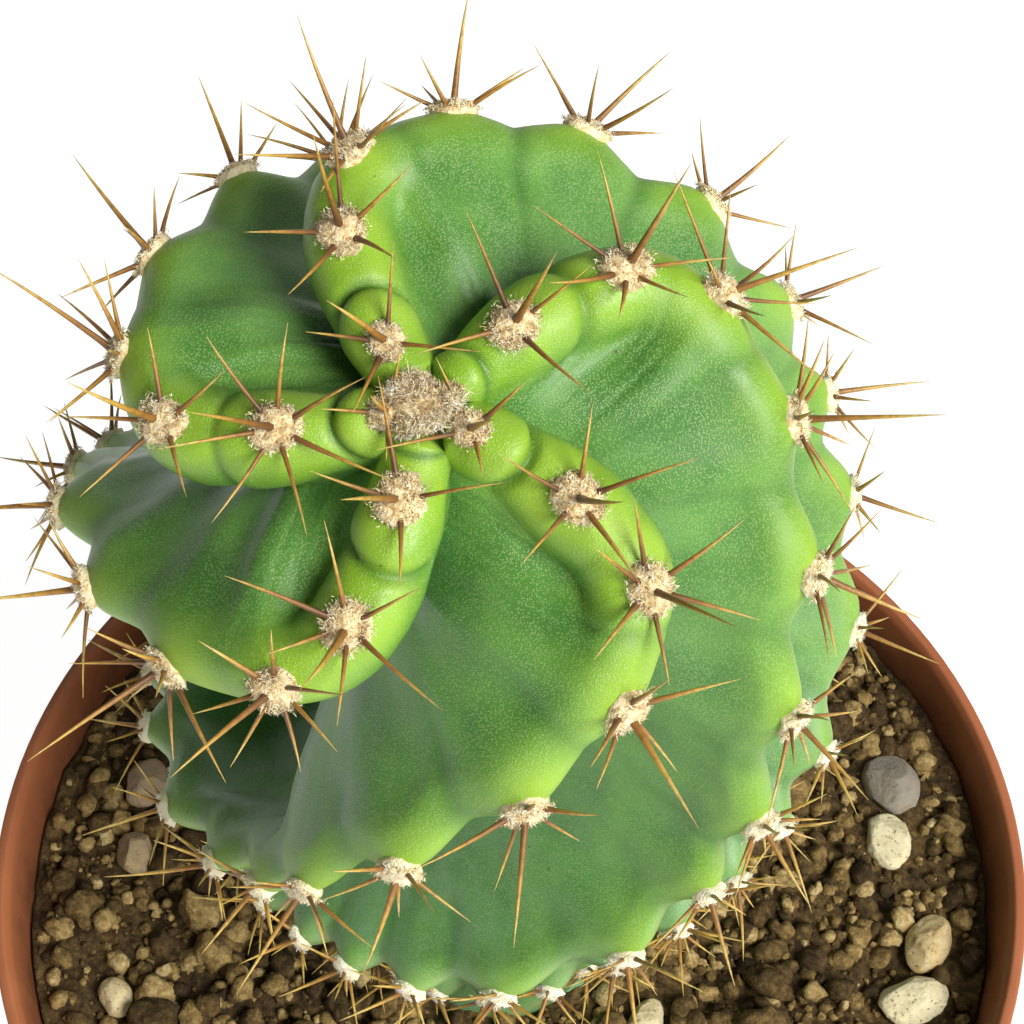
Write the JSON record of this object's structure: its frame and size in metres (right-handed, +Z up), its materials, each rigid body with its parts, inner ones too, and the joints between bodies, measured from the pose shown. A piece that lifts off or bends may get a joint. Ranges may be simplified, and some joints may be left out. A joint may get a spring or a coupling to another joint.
{
  "type": "potted spiral cactus",
  "caption": "Five-ribbed columnar cactus whose ribs wind round the stem, with woolly areoles and spines, in a plain round pot of soil with pale stones.",
  "frame": {"origin": "middle of the pot's underside, at the foot of the bounding box", "axes": "+Z up the plant, -Y towards the side the picture was taken from, +X to the right of the picture"},
  "size_m": [0.17, 0.17, 0.3041],
  "materials": {
    "pot": "matte moulded plastic",
    "soil": "loose crumbly potting mix",
    "cactus": "waxy fleshy skin",
    "stone": "rough pale gravel"
  },
  "bodies": {
    "root": {"pot": "pot", "soil": "soil", "cactus": "cactus", "stone_1": "stone", "stone_2": "stone", "stone_3": "stone", "stone_4": "stone", "stone_5": "stone", "stone_6": "stone", "stone_7": "stone", "stone_8": "stone", "stone_9": "stone", "stone_10": "stone"}
  },
  "joints": []
}
